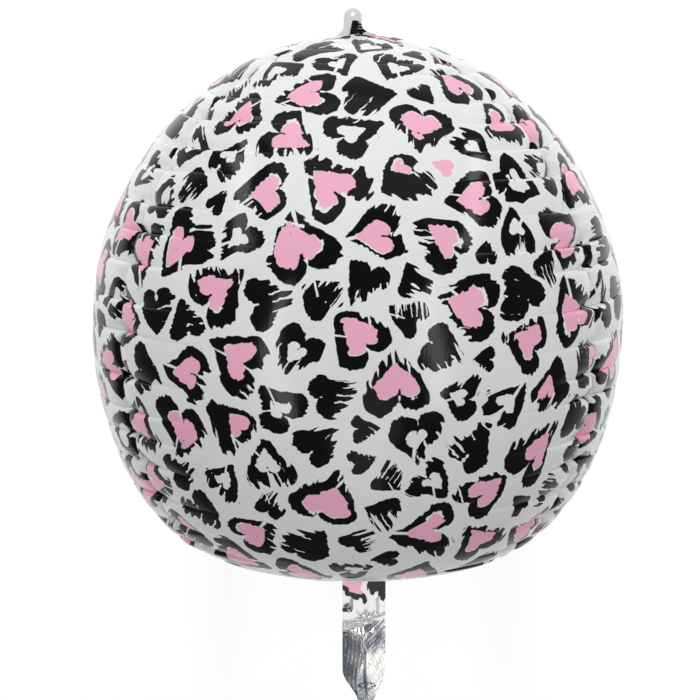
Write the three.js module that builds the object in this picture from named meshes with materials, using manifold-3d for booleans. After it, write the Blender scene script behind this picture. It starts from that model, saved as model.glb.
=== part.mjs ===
// A sphere-shaped foil balloon, lying on its back panel.
// Millimetres, +Z up. The hanging tab points to +Y, the filling neck to -Y, and the front panel faces up.
// The origin is on the floor, under the middle of the balloon's length and width.

import * as THREE from "three";
import Module from "manifold-3d";
import { mergeVertices } from "three/addons/utils/BufferGeometryUtils.js";

const wasm = await Module();
wasm.setup();

// Driving dimensions: the inflated envelope
const envelopeWidth = 555; // across the equator
const topHeight = 303; // from the equator to the top pole
const topPower = 1.96; // 2 makes the upper half an ellipse, less makes it more pointed
const bottomHeight = 255.5; // from the equator to the bottom pole
const bottomPressedIn = 58; // how far the bottom pole lies inside the ellipse that the lower half follows
const bottomFlatness = 8; // how suddenly the underside turns flat
const restSpotRadius = 42; // the flat spot that the balloon lies on
const widePanelAngle = 121; // degrees of the equator that the front and back panels each span

// Driving dimensions: the heat-sealed seams and the puckers across them
const seamDepth = 4.5;
const seamWidth = 9;
const seamScallop = 6; // how far the seam swings from side to side between two puckers
const puckerSpacing = 34;
const puckerUnevenness = 0.5; // share of the spacing that a pucker may stray
const puckerDepth = 5.5;
const puckerRoundness = 0.6; // less makes the creases narrower
const widePanelPuckerReach = 50;
const sidePanelPuckerReach = 75;

// Driving dimensions: the hanging tab at the top pole
const tabWidth = 19;
const tabHeight = 26.5; // from the top pole
const tabOffset = -5; // the tab stands left of the poles' axis
const tabFlareWidth = 44;
const tabFlareHeight = 9;
const tabHoleDiameter = 4;
const tabHoleDrop = 6.5; // from the tab's tip to the middle of the hole
const tabThickness = 1;

// Driving dimensions: the filling neck at the bottom pole
const neckWidth = 46;
const neckEndWidth = 17;
const neckLength = 160; // from the bottom pole, measured along Y
const neckOffset = 7; // the neck stands right of the poles' axis
const neckEndShift = 2.5; // the narrow end stands further right
const neckTaperStart = 122;
const neckPinch = 68; // where the flat printed film ends and the crinkled bare foil starts
const neckPinchBlend = 14;
const neckRidge = 4; // height of the fold along the middle of the bare foil
const neckCrinkle = 1.2;
const neckDroopStart = 30; // the neck is flat up to here, where a ribbon is tied
const neckDroop = 18;
const neckThickness = 1;

// Fit between touching pieces
const touchGap = 0.3;
const rootDepth = 8; // how far the tab and neck run in before the envelope cuts them off

// Fineness of the facets
const rowSpacing = 11.4; // between rows of facets along a seam
const widePanelColumns = [0, 0.02, 0.055, 0.11, 0.18, 0.27, 0.38, 0.5]; // shares of the panel's width
const sidePanelColumns = [0, 0.046, 0.11, 0.21, 0.34, 0.5];
const meridianSpacing = 1.21; // between points of the meridian's table
const neckFacetLength = 9.3;
const neckFacetWidth = 5.75;
const tabFacetLength = 3; // round the tab's tip

// Worked out from the driving dimensions
const equatorRadius = envelopeWidth / 2;
const axisHeight = Math.sqrt(equatorRadius ** 2 - restSpotRadius ** 2);
const equatorPlace = (bottomHeight + neckLength - topHeight - tabHeight) / 2;
const wideHalfAngle = THREE.MathUtils.degToRad(widePanelAngle / 2);
const bottomRoundHeight = bottomHeight + bottomPressedIn;
const bottomFlatLevel = (bottomHeight ** -bottomFlatness - bottomRoundHeight ** -bottomFlatness)
  ** (-1 / bottomFlatness);
const meridian = meridianTable();
const puckerCount = Math.max(4, Math.round(meridian.length / puckerSpacing));
const stepsPerPucker = Math.max(2, Math.round(puckerSpacing / rowSpacing));
const neckRows = Math.max(2, Math.round((neckLength + rootDepth) / neckFacetLength));
const neckColumns = Math.max(2, Math.round(neckWidth / neckFacetWidth));
const tipSegments = Math.max(6, Math.round((Math.PI * tabWidth) / 2 / tabFacetLength));

// Four seams, as angles round the poles' axis from +Z towards +X
const seamAngles = [
  wideHalfAngle,
  Math.PI - wideHalfAngle,
  Math.PI + wideHalfAngle,
  2 * Math.PI - wideHalfAngle,
];

// Each panel runs from one seam to the next, round the poles' axis
const panels = [
  panelBetween("front_panel", 3, 0, widePanelColumns, widePanelPuckerReach),
  panelBetween("right_side_panel", 0, 1, sidePanelColumns, sidePanelPuckerReach),
  panelBetween("back_panel", 1, 2, widePanelColumns, widePanelPuckerReach),
  panelBetween("left_side_panel", 2, 3, sidePanelColumns, sidePanelPuckerReach),
];

function panelBetween(name, firstSeam, lastSeam, halfColumns, puckerReach) {
  const turn = firstSeam > lastSeam ? 2 * Math.PI : 0;
  const first = seamAngles[firstSeam] - turn;
  const last = seamAngles[lastSeam];
  const mirrored = halfColumns.slice(0, -1).map((place) => 1 - place).reverse();
  const columns = [...halfColumns, ...mirrored];
  return { name, firstSeam, lastSeam, first, last, columns, puckerReach };
}

// Height of the upper half over the equator plane, at a distance from the poles' axis
function topProfile(radius) {
  const share = Math.min(radius / equatorRadius, 1);
  return topHeight * (1 - share ** topPower) ** (1 / topPower);
}

// Depth of the lower half under the equator plane, at a distance from the poles' axis
function bottomProfile(radius) {
  const share = Math.min(radius / equatorRadius, 1);
  const round = bottomRoundHeight * Math.sqrt(1 - share * share);
  if (round < 1e-6) return 0;
  return (round ** -bottomFlatness + bottomFlatLevel ** -bottomFlatness) ** (-1 / bottomFlatness);
}

// The meridian from the bottom pole to the top pole: points with the distance run so far
function meridianTable() {
  const steps = Math.round((Math.PI * equatorRadius) / meridianSpacing);
  const points = [];
  let run = 0;
  for (let step = 0; step <= steps; step += 1) {
    const turn = -Math.PI / 2 + (Math.PI * step) / steps;
    const radius = Math.max(0, equatorRadius * Math.cos(turn));
    const height = turn < 0 ? -bottomProfile(radius) : topProfile(radius);
    const before = points[points.length - 1];
    if (before) run += Math.hypot(radius - before.radius, height - before.height);
    points.push({ radius, height, run });
  }
  return { points, length: run };
}

// Point and outward direction at a share of the meridian's length, 0 at the bottom pole and 1 at the top
function meridianAt(share) {
  const { points, length } = meridian;
  const run = THREE.MathUtils.clamp(share, 0, 1) * length;
  let low = 0;
  let high = points.length - 1;
  while (high - low > 1) {
    const middle = (low + high) >> 1;
    if (points[middle].run <= run) low = middle;
    else high = middle;
  }
  const from = points[low];
  const to = points[high];
  const part = (run - from.run) / (to.run - from.run);
  const chord = to.run - from.run;
  return {
    radius: THREE.MathUtils.lerp(from.radius, to.radius, part),
    height: THREE.MathUtils.lerp(from.height, to.height, part),
    outRadius: (to.height - from.height) / chord,
    outHeight: (from.radius - to.radius) / chord,
  };
}

// A repeatable number from 0 to 1 for each pucker of each seam
function scatter(index, seam) {
  const wave = Math.sin(index * 127.1 + seam * 311.7 + 17.3) * 43758.5453;
  return wave - Math.floor(wave);
}

// Place of a crease along a seam, as a share of the meridian
function creasePlace(index, seam) {
  if (index <= 0) return 0;
  if (index >= puckerCount) return 1;
  return (index + puckerUnevenness * (scatter(index, seam) - 0.5)) / puckerCount;
}

// Place along a seam for a count of puckers that may lie between two creases
function seamPlace(count, seam) {
  const index = Math.min(Math.floor(count), puckerCount - 1);
  return THREE.MathUtils.lerp(creasePlace(index, seam), creasePlace(index + 1, seam), count - index);
}

// Puckers and seams fade out towards the poles
function poleFade(share) {
  return Math.max(0, Math.sin(Math.PI * share)) ** 0.6;
}

// 0 on a crease and 1 on the crown of the little pillow between two creases
function pillow(count) {
  return Math.abs(Math.sin(Math.PI * count)) ** puckerRoundness;
}

// How deep the film is drawn in by one seam, at a distance from it
function seamPull(count, seam, distance, reach) {
  const valley = seamDepth * Math.exp(-distance / seamWidth);
  const depth = puckerDepth * (0.6 + 0.8 * scatter(Math.floor(count), seam + 4));
  return valley + depth * (1 - pillow(count)) * Math.exp(-((distance / reach) ** 1.2));
}

// Angle of a seam, which swings a little between two puckers
function seamAngleAt(angle, seam, count, radius) {
  const side = seam % 2 === 0 ? 1 : -1;
  return angle + (side * seamScallop * (pillow(count) - 0.5)) / Math.max(radius, equatorRadius / 4);
}

// A point of a panel: count of puckers from the bottom pole, and share of the way from first to last seam
function panelPoint(panel, count, across, offset) {
  const ease = across * across * (3 - 2 * across);
  const firstPlace = seamPlace(count, panel.firstSeam);
  const lastPlace = seamPlace(count, panel.lastSeam);
  const share = THREE.MathUtils.lerp(firstPlace, lastPlace, ease);
  const { radius, height, outRadius, outHeight } = meridianAt(share);
  const fade = poleFade(share);
  const first = seamAngleAt(panel.first, panel.firstSeam, count, radius);
  const last = seamAngleAt(panel.last, panel.lastSeam, count, radius);
  const angle = THREE.MathUtils.lerp(first, last, across);
  const width = radius * (last - first);
  const pull = (1 - across) * seamPull(count, panel.firstSeam, width * across, panel.puckerReach)
    + across * seamPull(count, panel.lastSeam, width * (1 - across), panel.puckerReach);
  const outward = offset - pull * fade;
  const reach = Math.max(0, radius + outward * outRadius);
  return new THREE.Vector3(reach * Math.sin(angle), height + outward * outHeight, reach * Math.cos(angle));
}

function polePoint(share, offset) {
  const { height, outHeight } = meridianAt(share);
  return new THREE.Vector3(0, height + Math.sign(outHeight) * offset, 0);
}

// Collects corners and faces, and turns them into a geometry
class FaceList {
  corners = [];
  faces = [];

  corner(point) {
    this.corners.push(point.x, point.y, point.z);
    return this.corners.length / 3 - 1;
  }

  triangle(a, b, c) {
    this.faces.push(a, b, c);
  }

  quad(a, b, c, d) {
    this.triangle(a, b, c);
    this.triangle(a, c, d);
  }

  geometry() {
    const geometry = new THREE.BufferGeometry();
    geometry.setAttribute("position", new THREE.Float32BufferAttribute(this.corners, 3));
    geometry.setIndex(this.faces);
    return geometry;
  }
}

// The outer faces between two pole corners, from rows of corners that run round the poles' axis
function addPanelFaces(list, rows, bottom, top) {
  const last = rows[0].length - 1;
  for (let column = 0; column < last; column += 1) {
    list.triangle(bottom, rows[0][column + 1], rows[0][column]);
    for (let row = 0; row < rows.length - 1; row += 1) {
      const lower = rows[row];
      const upper = rows[row + 1];
      list.quad(lower[column], lower[column + 1], upper[column + 1], upper[column]);
    }
    list.triangle(rows[rows.length - 1][column], rows[rows.length - 1][column + 1], top);
  }
}

function rowCounts() {
  const counts = [];
  for (let step = 1; step < puckerCount * stepsPerPucker; step += 1) counts.push(step / stepsPerPucker);
  return counts;
}

// One panel with the air behind it, as a wedge whose two flat sides meet on the poles' axis
function panelGeometry(panel) {
  const list = new FaceList();
  const bottom = list.corner(polePoint(0, 0));
  const top = list.corner(polePoint(1, 0));
  const middle = list.corner(new THREE.Vector3(0, 0, 0));
  const rows = rowCounts().map((count) =>
    panel.columns.map((across) => list.corner(panelPoint(panel, count, across, 0))),
  );
  addPanelFaces(list, rows, bottom, top);
  const firstEdge = [bottom, ...rows.map((row) => row[0]), top];
  const lastEdge = [bottom, ...rows.map((row) => row[row.length - 1]), top];
  for (let row = 0; row < firstEdge.length - 1; row += 1) {
    list.triangle(firstEdge[row], firstEdge[row + 1], middle);
    list.triangle(lastEdge[row + 1], lastEdge[row], middle);
  }
  const geometry = list.geometry();
  const halfAngle = (panel.last - panel.first) / 2;
  const shift = touchGap / 2 / Math.sin(halfAngle);
  const facing = panel.first + halfAngle;
  geometry.translate(shift * Math.sin(facing), 0, shift * Math.cos(facing));
  return geometry;
}

// The whole envelope, grown by the gap that its neighbours keep
function grownEnvelopeGeometry() {
  const list = new FaceList();
  const bottom = list.corner(polePoint(0, touchGap));
  const top = list.corner(polePoint(1, touchGap));
  const rows = rowCounts().map((count) => {
    const row = panels.flatMap((panel) =>
      panel.columns.slice(0, -1).map((across) => list.corner(panelPoint(panel, count, across, touchGap))),
    );
    return [...row, row[0]];
  });
  addPanelFaces(list, rows, bottom, top);
  return list.geometry();
}

// A closed geometry as a solid that can be cut
function toSolid(geometry) {
  const bare = geometry.clone();
  bare.deleteAttribute("normal");
  bare.deleteAttribute("uv");
  const merged = mergeVertices(bare);
  const vertProperties = new Float32Array(merged.attributes.position.array);
  const triVerts = new Uint32Array(merged.index.array);
  return new wasm.Manifold(new wasm.Mesh({ numProp: 3, vertProperties, triVerts }));
}

function toGeometry(solid) {
  const cut = solid.getMesh();
  const geometry = new THREE.BufferGeometry();
  geometry.setAttribute("position", new THREE.BufferAttribute(cut.vertProperties, 3));
  geometry.setIndex(new THREE.BufferAttribute(cut.triVerts, 1));
  return geometry;
}

function cutAway(geometry, cutter) {
  return toGeometry(toSolid(geometry).subtract(toSolid(cutter)));
}

function floorGeometry() {
  const side = 3 * envelopeWidth;
  return new THREE.BoxGeometry(side, side, side).translate(0, 0, -axisHeight - side / 2);
}

// Outline of the tab in the plane of the poles' axis, with its flare run down into the envelope
function tabOutline() {
  const tipRadius = tabWidth / 2;
  const tip = topHeight + tabHeight;
  const left = tabOffset - tipRadius;
  const right = tabOffset + tipRadius;
  const flareLeft = -tabFlareWidth / 2;
  const flareRight = tabFlareWidth / 2;
  const outline = new THREE.Shape();
  outline.moveTo(flareLeft, topHeight - rootDepth);
  outline.lineTo(flareRight, topHeight - rootDepth);
  outline.lineTo(flareRight, topProfile(flareRight));
  outline.quadraticCurveTo(right, topHeight + tabFlareHeight / 4, right, topHeight + tabFlareHeight);
  outline.lineTo(right, tip - tipRadius);
  outline.absarc(tabOffset, tip - tipRadius, tipRadius, 0, Math.PI, false);
  outline.lineTo(left, topHeight + tabFlareHeight);
  outline.quadraticCurveTo(left, topHeight + tabFlareHeight / 4, flareLeft, topProfile(-flareLeft));
  outline.closePath();
  const hole = new THREE.Path();
  hole.absarc(tabOffset, tip - tabHoleDrop, tabHoleDiameter / 2, 0, 2 * Math.PI, true);
  outline.holes.push(hole);
  return outline;
}

function tabGeometry() {
  const options = { depth: tabThickness, bevelEnabled: false, curveSegments: tipSegments };
  const geometry = new THREE.ExtrudeGeometry(tabOutline(), options);
  return geometry.translate(0, 0, -tabThickness / 2);
}

// Zigzag from 0 to 1 and back, for folds in the crinkled foil
function fold(place) {
  return 2 * Math.abs(place - Math.round(place));
}

// Middle of the neck's film. The distance runs from the bottom pole, and across from -1 to 1.
function neckPoint(across, distance) {
  const taper = THREE.MathUtils.smoothstep(distance, neckTaperStart, neckLength);
  const bare = THREE.MathUtils.smoothstep(distance, neckPinch - neckPinchBlend, neckPinch + neckPinchBlend);
  const halfWidth = THREE.MathUtils.lerp(neckWidth, neckEndWidth, taper) / 2;
  const ridge = neckRidge * (1 - Math.abs(across));
  const turns = distance / neckWidth;
  const crinkle = neckCrinkle * (fold(1.5 * across + 1.2 * turns) + fold(2.2 * across - 1.6 * turns) - 1);
  const droopShare = Math.max(0, distance - neckDroopStart) / (neckLength - neckDroopStart);
  const droop = neckDroop * droopShare ** 2;
  return new THREE.Vector3(
    neckOffset + neckEndShift * taper + across * halfWidth,
    -bottomHeight - distance,
    bare * (ridge + crinkle) - droop,
  );
}

// The neck's film as a thin closed plate: one grid of corners above the middle and one below
function neckPlateGeometry() {
  const list = new FaceList();
  const rise = neckThickness / 2;
  const sheets = [rise, -rise].map((lift) =>
    Array.from({ length: neckRows + 1 }, (_, row) =>
      Array.from({ length: neckColumns + 1 }, (__, column) => {
        const distance = THREE.MathUtils.lerp(neckLength, -rootDepth, row / neckRows);
        const point = neckPoint((2 * column) / neckColumns - 1, distance);
        return list.corner(point.setZ(point.z + lift));
      }),
    ),
  );
  const [over, under] = sheets;
  for (let row = 0; row < neckRows; row += 1) {
    for (let column = 0; column < neckColumns; column += 1) {
      list.quad(over[row][column], over[row][column + 1], over[row + 1][column + 1], over[row + 1][column]);
      list.quad(under[row][column], under[row + 1][column], under[row + 1][column + 1], under[row][column + 1]);
    }
    list.quad(over[row + 1][0], under[row + 1][0], under[row][0], over[row][0]);
    list.quad(over[row][neckColumns], under[row][neckColumns], under[row + 1][neckColumns],
      over[row + 1][neckColumns]);
  }
  for (let column = 0; column < neckColumns; column += 1) {
    list.quad(over[0][column], under[0][column], under[0][column + 1], over[0][column + 1]);
    list.quad(over[neckRows][column + 1], under[neckRows][column + 1], under[neckRows][column],
      over[neckRows][column]);
  }
  return list.geometry();
}

function printedFoil() {
  return new THREE.MeshStandardMaterial({ color: 0xe9ecea, roughness: 0.18, metalness: 0 });
}

function bareFoil() {
  return new THREE.MeshStandardMaterial({ color: 0xc6cacd, roughness: 0.12, metalness: 1 });
}

function piece(name, geometry, material) {
  geometry.computeVertexNormals();
  const mesh = new THREE.Mesh(geometry, material);
  mesh.name = name;
  return mesh;
}

function buildBalloon() {
  const group = new THREE.Group();
  const envelope = grownEnvelopeGeometry();
  for (const panel of panels) {
    const wedge = panelGeometry(panel);
    const solid = panel.name === "back_panel" ? cutAway(wedge, floorGeometry()) : wedge;
    group.add(piece(panel.name, solid, printedFoil()));
  }
  group.add(piece("hanging_tab", cutAway(tabGeometry(), envelope), printedFoil()));
  group.add(piece("filling_neck", cutAway(neckPlateGeometry(), envelope), bareFoil()));
  group.position.set(0, equatorPlace, axisHeight);
  return group;
}

const balloon = buildBalloon();

export default balloon;
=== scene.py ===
from collections import namedtuple
from math import cos, pi, radians, sin

import bpy
import numpy as np
from mathutils import Matrix, Vector
from mathutils.geometry import delaunay_2d_cdt


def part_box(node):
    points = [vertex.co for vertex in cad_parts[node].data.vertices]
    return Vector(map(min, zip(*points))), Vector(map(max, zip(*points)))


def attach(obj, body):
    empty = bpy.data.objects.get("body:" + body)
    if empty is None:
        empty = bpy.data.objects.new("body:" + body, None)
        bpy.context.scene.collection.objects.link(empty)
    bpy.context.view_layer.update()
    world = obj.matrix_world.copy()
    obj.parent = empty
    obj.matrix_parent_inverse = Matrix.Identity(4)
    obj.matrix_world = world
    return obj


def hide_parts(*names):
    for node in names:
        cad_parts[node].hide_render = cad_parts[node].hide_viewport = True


# The sphere foil balloon, lying on its back panel and seen from above, as in the photograph.
# Everything is in metres. The hanging tab points to +Y, the filling neck to -Y, the front panel up.

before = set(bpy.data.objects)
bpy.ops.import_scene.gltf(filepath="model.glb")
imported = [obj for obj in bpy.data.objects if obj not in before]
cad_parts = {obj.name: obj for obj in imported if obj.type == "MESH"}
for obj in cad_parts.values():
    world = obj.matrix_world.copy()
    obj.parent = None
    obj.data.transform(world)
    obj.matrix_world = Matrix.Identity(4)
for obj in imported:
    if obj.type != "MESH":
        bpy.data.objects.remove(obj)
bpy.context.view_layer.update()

# The inflated envelope
ENVELOPE_WIDTH = 0.555
TOP_HEIGHT = 0.303
TOP_POWER = 1.96
BOTTOM_HEIGHT = 0.2555
BOTTOM_PRESSED_IN = 0.058
BOTTOM_FLATNESS = 8
WIDE_PANEL_ANGLE = 121
TINY = 1e-9

# The heat-sealed seams and the puckers across them
SEAM_DEPTH = 0.0045
SEAM_WIDTH = 0.009
SEAM_SCALLOP = 0.006
PUCKER_SPACING = 0.034
PUCKER_UNEVENNESS = 0.5
PUCKER_DEPTH = 0.0055
PUCKER_DEPTH_SHARES = (0.6, 1.4)
PUCKER_ROUNDNESS = 0.6
PUCKER_FADE_POWER = 1.2
POLE_FADE_POWER = 0.6
WIDE_PUCKER_REACH = 0.050
SIDE_PUCKER_REACH = 0.075
PANEL_GAP = 0.0003

# Scattered numbers: their wave, and a row for each use, four seams apart
SCATTER_WAVE = (127.1, 311.7, 17.3)
SCATTER_GAIN = 43758.5453
PLACE_ROW, DEPTH_ROW, STRENGTH_ROW, REACH_ROW, SHORT_PLACE_ROW, SHORT_REACH_ROW = range(0, 24, 4)

# Relief that is finer than the solids carry; the step's reach is in widths of the step
GROOVE_DEPTH = 0.0054
GROOVE_WIDTH = 0.0017
GROOVE_STRENGTHS = (0.35, 1.0)
GROOVE_REACHES = (0.030, 0.095)
GROOVE_REACH_POWER = 1.5
GROOVE_STEP = 0.0052
GROOVE_STEP_WIDTH = 0.0026
GROOVE_STEP_REACH = 3.2
SHORT_GROOVE_DEPTH = 0.0014
SHORT_GROOVE_PLACES = (0.3, 0.7)
SHORT_GROOVE_REACHES = (0.006, 0.026)
SEAM_SLIT_DEPTH = 0.0036
SEAM_SLIT_WIDTH = 0.0014

# Waves of the taut film (around, along, start) and pleats at the poles (around, start, share)
FILM_SWELL = 0.0006
FILM_SWELL_WAVES = ((9, 31, 0), (14, -43, 1.7))
POLE_PLEAT = 0.0016
POLE_PLEAT_REACH = 0.028
POLE_PLEAT_START = 0.010
POLE_PLEAT_ROUNDNESS = 0.6
POLE_PLEAT_WAVES = ((11, 1.3, 1), (17, 0, 0.5))

# Fineness of the film's mesh
MERIDIAN_STEPS = 6000
MERIDIAN_SLOPE_STEPS = 4
ROWS_PER_PUCKER = 16
SEAM_COLUMN = 0.0007
COLUMN_GROWTH = 1.22
WIDEST_COLUMN = 0.0042

# The hanging tab; its waves are (height, across, along)
FILM_THICKNESS = 0.0005
TAB_WIDTH = 0.019
TAB_HEIGHT = 0.0265
TAB_OFFSET = -0.005
TAB_FLARE_WIDTH = 0.044
TAB_FLARE_HEIGHT = 0.009
TAB_HOLE_DIAMETER = 0.004
TAB_HOLE_DROP = 0.0065
TAB_SUNK = 0.002
TAB_FOOT_DROP = 0.004
TAB_WAVES = ((0.0005, 260, 90), (0.0004, -120, 330))
TAB_CURL = 0.0006
TAB_STEP = 0.0010
TAB_FOOT_POINTS, TAB_FLARE_POINTS, TAB_TIP_POINTS, TAB_HOLE_POINTS = 30, 10, 28, 24
MERGE_DISTANCE = 1e-7

# The filling neck: outline and droop
NECK_WIDTHS = (0.046, 0.017)
NECK_LENGTH = 0.160
NECK_OFFSET = 0.007
NECK_END_SHIFT = 0.0025
NECK_TAPER_START = 0.122
NECK_DROOP_START = 0.030
NECK_DROOP = 0.018
NECK_ROOT = 0.006
NECK_GRID = (210, 60)

# Its pinch and ridge; pairs of distances say where something starts and is whole
NECK_PINCH = 0.068
NECK_PINCH_BLEND = 0.014
NECK_RIDGE = 0.004
NECK_LEFT_SLOPE = 0.23
NECK_RIGHT_SLOPES = (0.15, 0.07)
NECK_SLOPE_CHANGE = (0.088, 0.104)
NECK_CREST = 0.002
NECK_CREST_HALF_WIDTH = 0.0010
NECK_CREST_SHIFTS = ((0.0035, NECK_PINCH, 0.100), (0.007, 0.108, 0.142))
NECK_CREST_WAVE = (0.0008, 190)
NECK_STREAK_DEPTH = 0.00026
NECK_STREAK_PERIOD = 0.0042
NECK_STREAK_SWAY = (0.6, 55)
NECK_GROOVE_PLACE = 0.001
NECK_GROOVE_WIDTH = 0.0008
NECK_GROOVE_DEPTH = 0.0012
NECK_GROOVE_START = (0.094, 0.104)

# Its crumpled facets: folds as (period, depth), and their strength in each area
NECK_FOLDS = ((0.027, 0.0003), (0.019, 0.0004), (0.012, 0.0003), (0.008, 0.0002), (0.004, 0.00012))
NECK_FOLD_BEND = 0.25
NECK_FOLD_WAVES = ((60, 110), (40, 90))
NECK_BARE_START = (0.040, 0.072)
NECK_UPPER_RIGHT = ((0.001, 0.006), (0.096, 0.106))
NECK_UPPER_RIGHT_FOLDS = (0.14, 0.80)
NECK_BARE_FOLDS = (0.15, 1)

# Its star of folds and rays, pressed lines (x, start, end) and oval weld (x, distance, half sizes)
NECK_STAR = 0.0015
NECK_STAR_PLACE = (0.002, 0.065)
NECK_STAR_FOLDS = 7
NECK_STAR_EYE = 0.004
NECK_STAR_REACH = 0.008
NECK_STAR_END = (0.066, 0.072)
NECK_STAR_RAYS = ((-0.995, 0.10), (-0.93, 0.37), (-0.83, 0.56), (0.94, -0.34))
NECK_RAY_START = (0.001, 0.004)
NECK_FILM_LINES = ((-0.0135, 0.043, 0.052), (0.0144, 0.042, 0.056))
NECK_LINE_DEPTH = 0.0022
NECK_LINE_WIDTH = 0.0008
NECK_LINE_RUN_OUT = 0.002
NECK_OVAL = (0.0020, 0.1405, 0.0078, 0.0034)
NECK_OVAL_WIDTH = 0.16
NECK_OVAL_DEPTH = 0.35
NECK_PRINT_END = 0.058
NECK_FILM_END = 0.071

# The photograph's framing
PHOTO_SIDE = 700
PHOTO_SCALE = 0.001051
EQUATOR_PIXEL = (357.5, 323.5)
CAMERA_DISTANCE = 3.0
CAMERA_TILT = 9
SENSOR = 36

EQUATOR_RADIUS = ENVELOPE_WIDTH / 2
AXIS_HEIGHT = sum(corner.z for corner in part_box("hanging_tab")) / 2
EQUATOR_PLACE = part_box("front_panel")[1].y - TOP_HEIGHT
BALLOON_MIDDLE = Vector((0, EQUATOR_PLACE, AXIS_HEIGHT))
SCALLOP_LEAST_RADIUS = EQUATOR_RADIUS / 4
HALF_WIDE_ANGLE = radians(WIDE_PANEL_ANGLE / 2)
SEAM_ANGLES = (
    HALF_WIDE_ANGLE,
    pi - HALF_WIDE_ANGLE,
    pi + HALF_WIDE_ANGLE,
    2 * pi - HALF_WIDE_ANGLE,
)


# The envelope's shape, by the same formulas as the solids

def top_profile(radius):
    share = np.minimum(radius / EQUATOR_RADIUS, 1)
    return TOP_HEIGHT * (1 - share**TOP_POWER) ** (1 / TOP_POWER)


def bottom_profile(radius):
    share = np.minimum(radius / EQUATOR_RADIUS, 1)
    round_height = BOTTOM_HEIGHT + BOTTOM_PRESSED_IN
    power = -BOTTOM_FLATNESS
    flat_part = BOTTOM_HEIGHT**power - round_height**power
    curve = np.maximum(round_height * np.sqrt(1 - share * share), TINY)
    return (curve**power + flat_part) ** (1 / power)


def meridian_table():
    turn = np.linspace(-pi / 2, pi / 2, MERIDIAN_STEPS + 1)
    radius = np.maximum(EQUATOR_RADIUS * np.cos(turn), 0)
    height = np.where(turn < 0, -bottom_profile(radius), top_profile(radius))
    steps = np.hypot(np.diff(radius), np.diff(height))
    run = np.concatenate([[0], np.cumsum(steps)])
    return radius, height, run


MERIDIAN_RADIUS, MERIDIAN_HEIGHT, MERIDIAN_RUN = meridian_table()
MERIDIAN_LENGTH = MERIDIAN_RUN[-1]
PUCKER_COUNT = round(MERIDIAN_LENGTH / PUCKER_SPACING)


def meridian_point(run):
    """Radius and height at a length along the meridian."""
    return [np.interp(run, MERIDIAN_RUN, values) for values in (MERIDIAN_RADIUS, MERIDIAN_HEIGHT)]


def meridian_at(share):
    """Radius, height and the way out of the envelope at a share of the meridian's length."""
    run = np.clip(share, 0, 1) * MERIDIAN_LENGTH
    reach = MERIDIAN_LENGTH / MERIDIAN_STEPS * MERIDIAN_SLOPE_STEPS
    radius, height = meridian_point(run)
    radius_step, height_step = np.subtract(meridian_point(run + reach), meridian_point(run - reach))
    length = np.maximum(np.hypot(radius_step, height_step), TINY)
    return radius, height, height_step / length, -radius_step / length


def between(limits, share):
    return limits[0] + (limits[1] - limits[0]) * share


def smoothstep(value, low, high):
    share = np.clip((value - low) / (high - low), 0, 1)
    return share * share * (3 - 2 * share)


def bell(value, width):
    return np.exp(-((value / width) ** 2))


def scatter(index, row):
    """A repeatable number from 0 to 1 for each pucker of a row."""
    across, down, start = SCATTER_WAVE
    wave = np.sin(index * across + row * down + start) * SCATTER_GAIN
    return wave - np.floor(wave)


def crease_place(index, seam):
    place = (index + PUCKER_UNEVENNESS * (scatter(index, seam + PLACE_ROW) - 0.5)) / PUCKER_COUNT
    return np.where(index <= 0, 0, np.where(index >= PUCKER_COUNT, 1, place))


def seam_place(count, seam):
    index = np.minimum(np.floor(count), PUCKER_COUNT - 1)
    return between((crease_place(index, seam), crease_place(index + 1, seam)), count - index)


def pillow(count):
    return np.abs(np.sin(pi * count)) ** PUCKER_ROUNDNESS


def seam_pull(count, seam, distance, reach):
    """How deep the film is drawn in by one seam."""
    valley = SEAM_DEPTH * np.exp(-distance / SEAM_WIDTH)
    depth = PUCKER_DEPTH * between(PUCKER_DEPTH_SHARES, scatter(np.floor(count), seam + DEPTH_ROW))
    fade = np.exp(-((distance / reach) ** PUCKER_FADE_POWER))
    return valley + depth * (1 - pillow(count)) * fade


def groove_pull(count, seam, distance):
    """Narrow creases on the lines of the puckers, and short ones between them."""
    nearest = np.round(count)
    aside = (count - nearest) * PUCKER_SPACING
    strength = between(GROOVE_STRENGTHS, scatter(nearest, seam + STRENGTH_ROW))
    reach = between(GROOVE_REACHES, scatter(nearest, seam + REACH_ROW) ** GROOVE_REACH_POWER)
    groove = GROOVE_DEPTH * np.exp(-np.abs(aside) / GROOVE_WIDTH)
    step = GROOVE_STEP * np.tanh(aside / GROOVE_STEP_WIDTH)
    step = step * bell(aside, GROOVE_STEP_REACH * GROOVE_STEP_WIDTH)
    long_creases = strength * bell(distance, reach) * (groove + step)
    index = np.floor(count)
    place = index + between(SHORT_GROOVE_PLACES, scatter(index, seam + SHORT_PLACE_ROW))
    short_aside = (count - place) * PUCKER_SPACING
    short = SHORT_GROOVE_DEPTH * np.exp(-np.abs(short_aside) / GROOVE_WIDTH)
    short_reach = between(SHORT_GROOVE_REACHES, scatter(index, seam + SHORT_REACH_ROW))
    return long_creases + short * bell(distance, short_reach)


def film_swell(radius, height, angle):
    """Broad, faint unevenness of the taut film."""
    wave = 0
    for around, along, start in FILM_SWELL_WAVES:
        wave = wave + np.sin(around * angle + along * height + start)
    return FILM_SWELL * wave * np.minimum(radius / EQUATOR_RADIUS, 1)


def pole_gathers(radius, angle):
    """Small pleats where the panels are drawn together at the poles."""
    pleats = 0
    for around, start, share in POLE_PLEAT_WAVES:
        pleats = pleats + share * np.abs(np.sin(around * angle + start)) ** POLE_PLEAT_ROUNDNESS
    near_pole = np.exp(-radius / POLE_PLEAT_REACH) * np.minimum(radius / POLE_PLEAT_START, 1)
    return POLE_PLEAT * pleats * near_pole


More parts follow.
